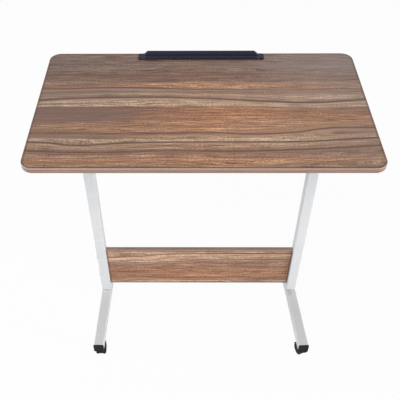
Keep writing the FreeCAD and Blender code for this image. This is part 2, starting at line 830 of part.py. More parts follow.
def brake_pedal(side_name):
    """The moulded pedal: an arm in the slot, its pin, and a tread plate outside the guard."""
    arm = block(pedal_arm_width, pedal_arm_height, pedal_arm_tail + pedal_arm_reach, 0, 0, -pedal_arm_tail)
    tread = block(pedal_width, pedal_thickness, pedal_length, 0, 0, pedal_arm_reach)
    tread = tread.makeFillet(pedal_round, straight_edges(tread, X_AXIS))
    pedal = about_pivot(arm.fuse(tread)).fuse(pedal_pin(0))
    return on_stem(pedal, "rear", side_name)


# Build

write("tabletop", tabletop())
write("tabletop_edge_band", tabletop_edge_band())
write("tablet_ledge", tablet_ledge())
write("ledge_screws", ledge_screws())
write("arm_end_caps", arm_end_caps())
write("tabletop_screws", tabletop_screws())
write("insert_nuts", insert_nuts())
write("arm_welds", arm_welds())
write("foot_welds", foot_welds())
write("clamp_nuts", clamp_nuts())
write("lower_panel", lower_panel())
write("panel_edge_band", panel_edge_band())
write("panel_bolts", panel_bolts())
write("panel_cross_dowels", panel_cross_dowels())
write("stem_nuts", stem_nuts())

for side_name, side in SIDES.items():
    write("support_arm_" + side_name, support_arm(side))
    write("inner_column_" + side_name, inner_column(side))
    write("inner_column_glide_" + side_name, inner_column_glide(side))
    write("column_tube_" + side_name, column_tube(side))
    write("column_collar_" + side_name, column_collar(side))
    write("foot_tube_" + side_name, foot_tube(side))
    write("clamp_tip_" + side_name, clamp_tip(side))
    write("clamp_screw_" + side_name, clamp_screw(side))
    write("clamp_knob_" + side_name, clamp_knob(side))
    write("brake_pedal_rear_" + side_name, brake_pedal(side_name))
    for end_name in ENDS:
        place = end_name + "_" + side_name
        write("foot_cap_" + place, foot_cap(end_name, side_name))
        write("caster_stem_" + place, caster_stem(end_name, side_name))
        write("caster_hood_" + place, caster_hood(end_name, side_name))
        write("caster_axle_" + place, caster_axle(end_name, side_name))
        write("caster_wheel_" + place + "_a", caster_wheel(end_name, side_name, -1))
        write("caster_wheel_" + place + "_b", caster_wheel(end_name, side_name, 1))
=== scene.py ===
import math

import bmesh
import bpy
from mathutils import Matrix, Vector


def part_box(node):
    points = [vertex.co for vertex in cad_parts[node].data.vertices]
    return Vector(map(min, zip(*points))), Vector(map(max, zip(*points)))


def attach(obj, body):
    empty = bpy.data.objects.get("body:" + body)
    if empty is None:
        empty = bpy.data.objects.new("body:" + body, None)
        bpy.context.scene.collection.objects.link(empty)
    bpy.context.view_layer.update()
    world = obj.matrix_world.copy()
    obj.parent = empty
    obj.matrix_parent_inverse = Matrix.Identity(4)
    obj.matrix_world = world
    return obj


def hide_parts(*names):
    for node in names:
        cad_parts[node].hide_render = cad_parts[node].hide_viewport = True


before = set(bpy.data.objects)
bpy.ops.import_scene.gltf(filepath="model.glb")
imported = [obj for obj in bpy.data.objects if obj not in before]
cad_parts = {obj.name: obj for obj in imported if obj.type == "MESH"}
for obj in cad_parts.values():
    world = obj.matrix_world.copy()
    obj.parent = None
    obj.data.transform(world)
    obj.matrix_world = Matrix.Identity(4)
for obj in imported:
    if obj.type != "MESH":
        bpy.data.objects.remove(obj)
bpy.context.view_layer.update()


# Camera
# The photo looks down on the table from in front of it and a little to its left.
# The lens is shifted because the photo was cropped off its middle.

lens_mm = 54.56
sensor_mm = 36.0
lens_shift = (0.0398, 0.0133)
camera_place = (-0.0286, -1.0442, 1.4701)
camera_dip = 45.774
camera_yaw = -0.613
camera_roll = -0.432

def new_object(name, data):
    """A mesh, lamp or camera as an object of the scene."""
    made = bpy.data.objects.new(name, data)
    bpy.context.scene.collection.objects.link(made)
    return made


lens = bpy.data.cameras.new("photo_camera")
lens.sensor_width = sensor_mm
lens.lens = lens_mm
lens.shift_x, lens.shift_y = lens_shift
camera = new_object("photo_camera", lens)
turn = Matrix.Rotation(math.radians(-camera_yaw), 4, "Z")
dip = Matrix.Rotation(math.radians(90 - camera_dip), 4, "X")
roll = Matrix.Rotation(math.radians(camera_roll), 4, "Z")
camera.matrix_world = Matrix.Translation(camera_place) @ (turn @ dip) @ roll
bpy.context.scene.camera = camera
bpy.context.scene.view_settings.view_transform = "Standard"


# Floor, backdrop and lamps
# A plain white studio: a pale floor that runs out into a white surround, a soft lamp in front
# of the table, a weak one at its left, and two low ones for the legs, one at the left and a
# strong one far off at the front right.

floor_half = 6.0
floor_colour = (0.82, 0.82, 0.83, 1.0)
floor_roughness = 0.9
floor_white_share = 0.955
surround_light = 0.41
surround_colour = (0.94, 0.985, 1.06, 1.0)
plain_white = (1, 1, 1, 1)
key_size = (1.4, 1.4)
key_watts = 47.0
key_colour = (1.0, 0.975, 0.935)
key_place = (-0.8, -2.0, 2.8)
side_size = (1.6, 1.6)
side_watts = 5.0
side_place = (-2.2, -0.6, 1.7)
low_size = (1.2, 0.6)
low_left_watts = 22.0
low_left_place = (-2.6, 0.0, 0.36)
low_right_watts = 118.0
low_right_colour = (1.0, 0.975, 0.945)
low_right_place = (3.9, -1.7, 0.36)
lamp_target = Vector((0.0, 0.0, 0.5))


def add(tree, kind, values=None, **settings):
    """A node with its settings, and its inputs as numbers, colours or other nodes' outputs."""
    made = tree.nodes.new("ShaderNode" + kind)
    for name, value in settings.items():
        setattr(made, name, value)
    for socket, value in (values or {}).items():
        if isinstance(value, bpy.types.NodeSocket):
            tree.links.new(value, made.inputs[socket])
        else:
            made.inputs[socket].default_value = value
    return made


def calc(tree, operation, first, second=0.0, third=0.0):
    """The output of a Math node."""
    return add(tree, "Math", {0: first, 1: second, 2: third}, operation=operation).outputs[0]


def scaled(tree, value, before=(0.0, 1.0), after=(0.0, 1.0), **settings):
    """A value brought from one range to another, and held at its ends."""
    return add(tree, "MapRange", {
        "Value": value, "From Min": before[0], "From Max": before[1],
        "To Min": after[0], "To Max": after[1],
    }, **settings).outputs[0]


def blend_colours(tree, share, first, second, way="MIX"):
    """The colour output of a Mix node."""
    made = add(tree, "Mix", {0: share, 6: first, 7: second}, data_type="RGBA", blend_type=way)
    return made.outputs[2]


def new_material(name, roughness, metallic=0.0):
    """A material with its tree and its shader."""
    material = bpy.data.materials.new(name)
    material.use_nodes = True
    shader = material.node_tree.nodes["Principled BSDF"]
    shader.inputs["Roughness"].default_value = roughness
    shader.inputs["Metallic"].default_value = metallic
    return material, material.node_tree, shader


def white_floor():
    """Pale floor: the camera sees it nearly white, with a soft shadow left in it."""
    material, tree, shader = new_material("white_floor", floor_roughness)
    shader.inputs["Base Color"].default_value = floor_colour
    glow = add(tree, "Emission", {"Color": plain_white, "Strength": 1.0})
    seen = add(tree, "LightPath").outputs["Is Camera Ray"]
    share = calc(tree, "MULTIPLY", seen, floor_white_share)
    mixed = add(tree, "MixShader", {0: share, 1: shader.outputs[0], 2: glow.outputs[0]})
    tree.links.new(mixed.outputs[0], tree.nodes["Material Output"].inputs["Surface"])
    return material


def white_surround():
    """The world: an even light, and plain white to the camera and in reflections."""
    world = bpy.data.worlds.new("white_surround")
    world.use_nodes = True
    tree = world.node_tree
    path = add(tree, "LightPath")
    seen = calc(tree, "MAXIMUM", path.outputs["Is Camera Ray"], path.outputs["Is Glossy Ray"])
    seen = calc(tree, "MAXIMUM", seen, path.outputs["Is Transmission Ray"])
    strength = scaled(tree, seen, after=(surround_light, 1.0))
    tint = blend_colours(tree, seen, surround_colour, plain_white)
    tree.links.new(strength, tree.nodes["Background"].inputs["Strength"])
    tree.links.new(tint, tree.nodes["Background"].inputs["Color"])
    return world


def soft_lamp(name, size, watts, place, colour=(1, 1, 1)):
    """A flat soft lamp, given by its width and height, aimed at the table."""
    lamp = bpy.data.lights.new(name, "AREA")
    lamp.shape = "RECTANGLE"
    lamp.size, lamp.size_y = size
    lamp.energy = watts
    lamp.color = colour
    made = new_object(name, lamp)
    made.location = place
    made.rotation_euler = (lamp_target - Vector(place)).to_track_quat("-Z", "Y").to_euler()


shape = bmesh.new()
bmesh.ops.create_grid(shape, x_segments=1, y_segments=1, size=floor_half)
floor_mesh = bpy.data.meshes.new("floor")
shape.to_mesh(floor_mesh)
shape.free()
floor_mesh.materials.append(white_floor())
new_object("floor", floor_mesh)
bpy.context.scene.world = white_surround()
soft_lamp("key_lamp", key_size, key_watts, key_place, key_colour)
soft_lamp("side_lamp", side_size, side_watts, side_place)
soft_lamp("low_lamp_left", low_size, low_left_watts, low_left_place)
soft_lamp("low_lamp_right", low_size, low_right_watts, low_right_place, low_right_colour)


# Frame tubes
# Square steel tube, sawn, drilled, welded and coated with white powder, which flows to a
# slightly rippled skin and thins at the edges.

coat_colour = (0.704, 0.722, 0.733)
coat_worn_colour = (0.61, 0.63, 0.645)
coat_wear = {"Radius": 0.0012, "Break Up": 700.0, "Amount": 0.5}
coat_roughness = 0.40
coat_ripple_scale = 900.0
coat_ripple_strength = 0.6
coat_ripple_depth = 0.00003
coat_dust_scale = 14.0
coat_dust_range = (0.45, 0.8)
coat_dust_share = 0.18
# A darker speckled patch at the front of the right column's foot.
foot_patch_colour = (0.33, 0.34, 0.36)
foot_patch_place = (0.2545, -0.0215, 0.065)
foot_patch_reach = 0.017
foot_patch_speckle_scale = 260.0
foot_patch_speckle_range = (0.44, 0.58)

# How closely the eased and the true normal agree where wear starts and where it is full, and
# the part of a fine noise that breaks it up.
wear_start, wear_full = 0.995, 0.9
wear_speckle_range = (0.35, 0.6)

sides = ("left", "right")
tube_nodes = ["column_tube", "foot_tube", "support_arm", "inner_column"]


def node_group(name, inputs, outputs):
    """An empty shader node group with named inputs and outputs, each given by its socket type."""
    tree = bpy.data.node_groups.new(name, "ShaderNodeTree")
    for label, kind, value in inputs:
        socket = tree.interface.new_socket(label, in_out="INPUT", socket_type="NodeSocket" + kind)
        socket.default_value = value
    for label, kind in outputs:
        tree.interface.new_socket(label, in_out="OUTPUT", socket_type="NodeSocket" + kind)
    return tree, tree.nodes.new("NodeGroupInput"), tree.nodes.new("NodeGroupOutput")


def noise(tree, place, scale, detail):
    """The grey output of a Noise node."""
    return add(tree, "TexNoise", {"Vector": place, "Scale": scale, "Detail": detail}).outputs["Fac"]


def edge_wear_group():
    """Where an edge is sharp enough to wear, broken up by a fine noise, and its eased normal."""
    tree, start, end = node_group(
        "edge_wear",
        [("Radius", "Float", 0.001), ("Break Up", "Float", 400.0), ("Amount", "Float", 1.0)],
        [("Mask", "Float"), ("Normal", "Vector")],
    )
    place = add(tree, "TexCoord").outputs["Object"]
    flat = add(tree, "NewGeometry").outputs["Normal"]
    eased = add(tree, "Bevel", {"Radius": start.outputs["Radius"]}, samples=4)
    match = add(tree, "VectorMath", {0: eased.outputs[0], 1: flat}, operation="DOT_PRODUCT")
    edge = scaled(tree, match.outputs["Value"], (wear_start, wear_full))
    broken = scaled(tree, noise(tree, place, start.outputs["Break Up"], 3.0), wear_speckle_range)
    mask = calc(tree, "MULTIPLY", edge, broken)
    mask = calc(tree, "MULTIPLY", mask, start.outputs["Amount"])
    tree.links.new(mask, end.inputs["Mask"])
    tree.links.new(eased.outputs[0], end.inputs["Normal"])
    return tree


edge_wear = edge_wear_group()


def opaque(colour):
    """A colour with full cover."""
    return (*colour, 1.0)


def wire(tree, shader, outputs):
    """Link outputs to the shader's sockets of the given names."""
    for socket, output in outputs.items():
        tree.links.new(output, shader.inputs[socket])


def powder_coat(name, base):
    """White powder coat: rippled, faintly dusty, thin on the edges, darker in a speckled patch at
    one column's foot.
    """
    material, tree, shader = new_material(name, coat_roughness)
    place = add(tree, "TexCoord").outputs["Object"]
    edges = add(tree, "Group", coat_wear, node_tree=edge_wear)
    dust = noise(tree, place, coat_dust_scale, 4.0)
    dust = scaled(tree, dust, coat_dust_range, (0.0, coat_dust_share))
    worn = calc(tree, "MAXIMUM", edges.outputs["Mask"], dust)
    colour = blend_colours(tree, worn, opaque(base), opaque(coat_worn_colour))
    away = add(tree, "VectorMath", {0: place, 1: foot_patch_place}, operation="DISTANCE")
    near = scaled(tree, away.outputs["Value"], (foot_patch_reach, 0.0))
    patch_speckle = scaled(tree, noise(tree, place, foot_patch_speckle_scale, 3.0), foot_patch_speckle_range)
    colour = blend_colours(tree, calc(tree, "MULTIPLY", near, patch_speckle), colour, opaque(foot_patch_colour))
    ripple = noise(tree, place, coat_ripple_scale, 2.0)
    bump = add(tree, "Bump", {
        "Strength": coat_ripple_strength, "Distance": coat_ripple_depth, "Height": ripple,
        "Normal": edges.outputs["Normal"],
    })
    wire(tree, shader, {
        "Base Color": colour,
        "Roughness": scaled(tree, ripple, after=(coat_roughness - 0.05, coat_roughness + 0.08)),
        "Normal": bump.outputs[0],
    })
    return material


def dress(material, nodes):
    """Give carried-over nodes a material."""
    for name in nodes:
        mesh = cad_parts[name].data
        mesh.materials.clear()
        mesh.materials.append(material)


powder = powder_coat("powder_coat", coat_colour)
dress(powder, [name + "_" + side for name in tube_nodes for side in sides])
dress(powder, ["clamp_nuts"])


# Welds
# Short fillet welds, laid by hand in the corners between the columns and the feet and between the
# arms and the inner columns. Each bead is a row of overlapping ripples under the coat, and its
# darker grey is painted shade of the joint.

# The beads' darker grey is painted shade along the joint at each column's base.
weld_shade_colour = (0.36, 0.37, 0.385)
weld_ripples = 11
weld_ripple_length = 0.95
weld_swell = 0.86
weld_swell_change = 0.14
weld_swell_step = 2.3
weld_swell_shift = 90
foot_weld_leg = 0.0018
arm_weld_leg = 0.0030
foot_weld_width = 0.021
arm_weld_width = 0.016
crease_angle = 35.0

shaded_weld_coat = powder_coat("shaded_weld_coat", weld_shade_colour)


def finish_piece(name, shape, material, body, node):
    """Turn a bmesh into a piece that rides on a body and stands for a node, with creases kept."""
    bmesh.ops.recalc_face_normals(shape, faces=shape.faces)
    for face in shape.faces:
        face.smooth = True
    for edge in shape.edges:
        if len(edge.link_faces) == 2 and edge.calc_face_angle() > math.radians(crease_angle):
            edge.smooth = False
    mesh = bpy.data.meshes.new(name)
    shape.to_mesh(mesh)
    shape.free()
    mesh.materials.append(material)
    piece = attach(new_object(name, mesh), body)
    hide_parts(node)


def weld_bead(shape, middle_x, corner_y, corner_z, width, leg, upwards):
    """One bead in the corner before or behind a column, with ripples of uneven size."""
    outwards = 1 if corner_y > 0 else -1
    step = width / weld_ripples
    ripples = []
    for index in range(weld_ripples):
        x = middle_x - width / 2 + step * (index + 0.5)
        phase = index * weld_swell_step + middle_x * weld_swell_shift
        swell = leg * (weld_swell + weld_swell_change * math.sin(phase))
        size = Matrix.Diagonal((step * weld_ripple_length, swell, swell, 1.0))
        spot = Matrix.Translation((x, corner_y, corner_z)) @ size
        ripples += bmesh.ops.create_uvsphere(
            shape, u_segments=18, v_segments=10, radius=1.0, matrix=spot)["verts"]
    for normal in ((0, -outwards, 0), (0, 0, -upwards)):
        alive = [vert for vert in ripples if vert.is_valid]
        parts = set(alive)
        for vert in alive:
            parts.update(vert.link_edges)
            parts.update(vert.link_faces)
        cut = bmesh.ops.bisect_plane(
            shape, geom=list(parts), plane_co=(middle_x, corner_y, corner_z), plane_no=normal,
            clear_outer=True)["geom_cut"]
        ripples = alive + [part for part in cut if isinstance(part, bmesh.types.BMVert)]


def weld_beads(node, body, width, leg, upwards):
    """The four beads of a node, in the corners that its box gives."""
    low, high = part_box(node)
    corner_z = low.z if upwards > 0 else high.z
    shape = bmesh.new()
    for side in (-1, 1):
        for end in (-1, 1):
            weld_bead(shape, side * (high.x - width / 2), end * (high.y - leg), corner_z,
                      width, leg, upwards)
    finish_piece(node + "_rippled", shape, shaded_weld_coat, body, node)


weld_beads("foot_welds", "base", foot_weld_width, foot_weld_leg, 1)
weld_beads("arm_welds", "top", arm_weld_width, arm_weld_leg, -1)


# Boards
# Particle board faced with a printed wood-grain laminate. The print runs along the length:
# broad tan and red-brown bands, bowed dark growth lines, fine fibres and short pores.

board_length = 0.70
board_depth = 0.40
board_corner = 0.025
board_roughness = 0.32
board_sheen_range = (0.26, 0.40)
panel_corner = 0.008
# Where the painted shade round a board's face is full, and where it ends.
rim_shade_full = 0.0034
rim_shade_end = 0.0062
tone_pale = (0.588, 0.372, 0.235)
tone_tan = (0.410, 0.219, 0.130)
tone_amber = (0.477, 0.229, 0.115)
tone_red = (0.396, 0.164, 0.073)
tone_brown = (0.235, 0.102, 0.053)
tone_grey = (0.242, 0.132, 0.088)
tone_dark = (0.082, 0.022, 0.008)
tone_umber = (0.185, 0.102, 0.074)
# Pale grey of a painted sheen on the far right of the top.
tone_painted_sheen = (0.470, 0.370, 0.320)
tone_cream = (0.760, 0.490, 0.320)
tone_clay = (0.365, 0.220, 0.155)

# Growth lines: how far they may stray, where their left strength turns into their right one, how
# dark their shoulder is, how light their glow is and how far their dark core may fade.
line_swing = 0.02
line_turn = 0.12
line_shoulder = 0.42
line_glow = 0.6
line_fade = 0.86
line_fade_range = (0.3, 0.7)

# Noises of the print: their scales along and across the grain, and their detail. The depths say
# how much lighter and darker each of them makes the print.
fibre_noises = {
    "Fibre": (22.0, 500.0, 3.0), "Streak": (6.0, 230.0, 2.0), "Stripe": (2.6, 90.0, 2.0),
    "Tick": (210.0, 620.0, 1.0), "Pore": (160.0, 1700.0, 1.0),
}
fibre_depths = {"Stripe": 0.44, "Streak": 0.84, "Fibre": 1.55, "Tick": 0.95}
cloud_noise = (5.0, 34.0, 3.0)
cloud_depth = 0.30
cloud_seed_step = 7.0
shade_range = (0.25, 0.75)
wander_noise = (6.0, 26.0, 2.0)
grain_wander = 0.014
band_wander = 0.006
red_power, blue_power = 0.80, 1.12
pore_range = (0.62, 0.72)
pore_share = 0.3
pore_strength = 0.35
pore_depth = 0.00012
spot_rag = 2.4
spot_soft_start, spot_soft_end = 0.1, 1.1
top_seed, panel_seed = 3.1, 11.7


def smooth_share(tree, value, reach, start=0.0):
    """1 at a start value and 0 at a reach, with an even ease between them."""
    return scaled(tree, value, (start, reach), (1.0, 0.0), interpolation_type="SMOOTHSTEP")


def drawn_noise(tree, along, across, seed, along_scale, across_scale, detail):
    """Noise drawn out along the grain."""
    spot = add(tree, "CombineXYZ", {
        0: calc(tree, "MULTIPLY", along, along_scale),
        1: calc(tree, "MULTIPLY", across, across_scale),
        2: seed,
    })
    return noise(tree, spot.outputs[0], 1.0, detail)


def growth_line_group():
    """One growth line of the print: a dark core, a soft dark shoulder above, a light band below."""
    tree, start, end = node_group(
        "growth_line",
        [("Along", "Float", 0.0), ("Across", "Float", 0.0), ("Level", "Float", 0.0),
         ("Width", "Float", 0.002), ("Shoulder", "Float", 0.01), ("Glow", "Float", 0.012),
         ("Left", "Float", 1.0), ("Right", "Float", 1.0)],
        [("Dark", "Float"), ("Light", "Float")],
    )
    away = calc(tree, "SUBTRACT", start.outputs["Across"], start.outputs["Level"])
    size = calc(tree, "ABSOLUTE", away)
    above = calc(tree, "GREATER_THAN", away, 0.0)
    below = calc(tree, "SUBTRACT", 1.0, above)
    core = smooth_share(tree, size, start.outputs["Width"])
    shoulder = calc(tree, "MULTIPLY", smooth_share(tree, size, start.outputs["Shoulder"]), above)
    glow = calc(tree, "MULTIPLY", smooth_share(tree, size, start.outputs["Glow"]), below)
    strength = scaled(
        tree, start.outputs["Along"], (-line_turn, line_turn),
        (start.outputs["Left"], start.outputs["Right"]), interpolation_type="SMOOTHSTEP")
    dark = calc(tree, "MAXIMUM", core, calc(tree, "MULTIPLY", shoulder, line_shoulder))
    tree.links.new(calc(tree, "MULTIPLY", dark, strength), end.inputs["Dark"])
    tree.links.new(calc(tree, "MULTIPLY", glow, strength), end.inputs["Light"])
    return tree


growth_line = growth_line_group()


def fibre_group():
    """Fine print detail along the grain: fibres, streaks, broad stripes, ticks and short pores."""
    tree, start, end = node_group(
        "wood_fibres",
        [("Along", "Float", 0.0), ("Across", "Float", 0.0), ("Seed", "Float", 0.0)],
        [(label, "Float") for label in fibre_noises],
    )
    along, across, seed = (start.outputs[label] for label in ("Along", "Across", "Seed"))
    for label, values in fibre_noises.items():
        drawn = drawn_noise(tree, along, across, seed, *values)
        if label == "Pore":
            drawn = scaled(tree, drawn, pore_range)
        tree.links.new(drawn, end.inputs[label])
    return tree


wood_fibres = fibre_group()


def drawn_spot_group():
    """A drawn-out spot with ragged edges, for marks of the print and for painted sheen and painted
    shade.
    """
    tree, start, end = node_group(
        "drawn_spot",
        [("Along", "Float", 0.0), ("Across", "Float", 0.0), ("Centre", "Vector", (0, 0, 0)),
         ("Half Size", "Vector", (0.03, 0.005, 1.0)), ("Rag", "Float", 0.0)],
        [("Mask", "Float")],
    )
    spot = add(tree, "CombineXYZ", {0: start.outputs["Along"], 1: start.outputs["Across"]})
    for operation, label in (("SUBTRACT", "Centre"), ("DIVIDE", "Half Size")):
        values = {0: spot.outputs[0], 1: start.outputs[label]}
        spot = add(tree, "VectorMath", values, operation=operation)
    size = add(tree, "VectorMath", {0: spot.outputs[0]}, operation="LENGTH").outputs["Value"]
    rag = calc(tree, "SUBTRACT", start.outputs["Rag"], 0.5)
    size = calc(tree, "MULTIPLY_ADD", rag, spot_rag, size)
    mask = smooth_share(tree, size, spot_soft_end, spot_soft_start)
    tree.links.new(mask, end.inputs["Mask"])
    return tree


drawn_spot = drawn_spot_group()


def line_path(tree, along, level, points):
    """How far a growth line strays from its level: a curve through points in millimetres."""
    share = scaled(tree, along, (-board_length / 2, board_length / 2))
    made = add(tree, "FloatCurve", {"Factor": 1.0, "Value": share})
    curve = made.mapping.curves[0]
    while len(curve.points) < len(points):
        curve.points.new(0.5, 0.5)
    for point, (x, y) in zip(curve.points, points):
        point.location = (x / 1000 / board_length + 0.5, (y / 1000 - level) / line_swing / 2 + 0.5)
        point.handle_type = "AUTO"
    made.mapping.update()
    return scaled(tree, made.outputs[0], after=(-line_swing, line_swing))


def tone_ramp(tree, place, bands, span):
    """A colour ramp over levels from edge to edge. The first two bands are its two ends."""
    ramp = add(tree, "ValToRGB", {0: scaled(tree, place, (-span / 2, span / 2))})
    ramp.color_ramp.interpolation = "EASE"
    stops = ramp.color_ramp.elements
    for index, (level, tone) in enumerate(bands):
        if index < 2:
            stops[index].position = level / span + 0.5
            stops[index].color = opaque(tone)
        else:
            stops.new(level / span + 0.5).color = opaque(tone)
    return ramp.outputs[0]


def rim_share(tree, along, across, sheet):
    """1 at the rim of a board with round corners, and 0 inside its band of painted shade."""
    past = []
    for value, half in ((along, sheet["half_length"]), (across, sheet["half_width"])):
        far = calc(tree, "SUBTRACT", calc(tree, "ABSOLUTE", value), half - sheet["corner"])
        past.append(calc(tree, "MAXIMUM", far, 0.0))
    far = add(tree, "CombineXYZ", {0: past[0], 1: past[1]}).outputs[0]
    far = add(tree, "VectorMath", {0: far}, operation="LENGTH").outputs["Value"]
    inside = calc(tree, "SUBTRACT", sheet["corner"], far)
    return smooth_share(tree, inside, rim_shade_end, rim_shade_full)


def wood_face(name, across_axis, middle, sheet, seed):
    """A printed board face. Its grain follows growth lines; bands, tints and spots colour it, and
    painted shade darkens its rim.
    """
    material, tree, shader = new_material(name, board_roughness)
    place = add(tree, "SeparateXYZ", {0: add(tree, "TexCoord").outputs["Object"]})
    along = place.outputs[0]
    across = calc(tree, "SUBTRACT", place.outputs[across_axis], middle)
    strays = across
    for line in sheet["lines"]:
        path = line_path(tree, along, line["level"], line["path"])
        away = calc(tree, "SUBTRACT", across, calc(tree, "ADD", path, line["level"]))
        pull = smooth_share(tree, calc(tree, "ABSOLUTE", away), line["reach"])
        strays = calc(tree, "SUBTRACT", strays, calc(tree, "MULTIPLY", path, pull))
    wander = calc(tree, "SUBTRACT", drawn_noise(tree, along, across, seed, *wander_noise), 0.5)
    grain = calc(tree, "MULTIPLY_ADD", wander, grain_wander, strays)
    level = calc(tree, "MULTIPLY_ADD", wander, band_wander, strays)

    colour = tone_ramp(tree, level, sheet["bands"], board_depth)
    tint = tone_ramp(tree, along, sheet["tints"], board_length)
    colour = blend_colours(tree, 1.0, colour, tint, "MULTIPLY")
    values = {"Along": along, "Across": grain, "Seed": seed}
    fibres = add(tree, "Group", values, node_tree=wood_fibres)
    cloud = drawn_noise(tree, along, grain, seed + cloud_seed_step, *cloud_noise)
    shades = [(cloud, cloud_depth)]
    shades += [(fibres.outputs[label], depth) for label, depth in fibre_depths.items()]
    shade = 1.0
    for value, depth in shades:
        half = depth * sheet["contrast"] / 2
        part = scaled(tree, value, shade_range, (1.0 - half, 1.0 + half))
        shade = calc(tree, "MULTIPLY", part, shade)
    tinge = add(tree, "CombineColor", {
        0: calc(tree, "POWER", shade, red_power),
        1: shade,
        2: calc(tree, "POWER", shade, blue_power),
    }).outputs[0]
    colour = blend_colours(tree, 1.0, colour, tinge, "MULTIPLY")

    for x, y, half_length, half_height, strength, tone in sheet["spots"]:
        drawn = add(tree, "Group", {
            "Along": along, "Across": across, "Centre": (x, y, 0.0),
            "Half Size": (half_length, half_height, 1.0), "Rag": fibres.outputs["Stripe"],
        }, node_tree=drawn_spot)
        share = calc(tree, "MULTIPLY", drawn.outputs[0], strength)
        colour = blend_colours(tree, share, colour, opaque(tone))
    uneven = scaled(tree, fibres.outputs["Streak"], line_fade_range, (line_fade, 1.0))
    for line in sheet["lines"]:
        drawn = add(tree, "Group", {
            "Along": along, "Across": strays, "Level": line["level"], "Width": line["width"],
            "Shoulder": line["shoulder"], "Glow": line["glow"],
            "Left": line["left"], "Right": line["right"],
        }, node_tree=growth_line)
        light = calc(tree, "MULTIPLY", drawn.outputs["Light"], line_glow)
        colour = blend_colours(tree, light, colour, opaque(tone_pale))
        dark = calc(tree, "MULTIPLY", drawn.outputs["Dark"], uneven)
        colour = blend_colours(tree, dark, colour, opaque(tone_dark))
    pores = calc(tree, "MULTIPLY", fibres.outputs["Pore"], pore_share)
    colour = blend_colours(tree, pores, colour, opaque(tone_dark))
    # Painted shade: a dark rim round the face, where it meets its edges.
    rim = calc(tree, "MULTIPLY", rim_share(tree, along, across, sheet), sheet["rim_shade"])
    colour = blend_colours(tree, rim, colour, opaque(tone_dark))
    height = calc(tree, "SUBTRACT", fibres.outputs["Fibre"], fibres.outputs["Pore"])
    bump = add(tree, "Bump", {"Strength": pore_strength, "Distance": pore_depth, "Height": height})
    wire(tree, shader, {
        "Base Color": colour,
        "Roughness": scaled(tree, fibres.outputs["Fibre"], after=board_sheen_range),
        "Normal": bump.outputs[0],
    })
    return material


def line(level, reach, width, shoulder, glow, left, right, path):
    """The values of one growth line: lengths in metres, its path in millimetres."""
    return {"level": level, "reach": reach, "width": width, "shoulder": shoulder, "glow": glow,
            "left": left, "right": right, "path": path}


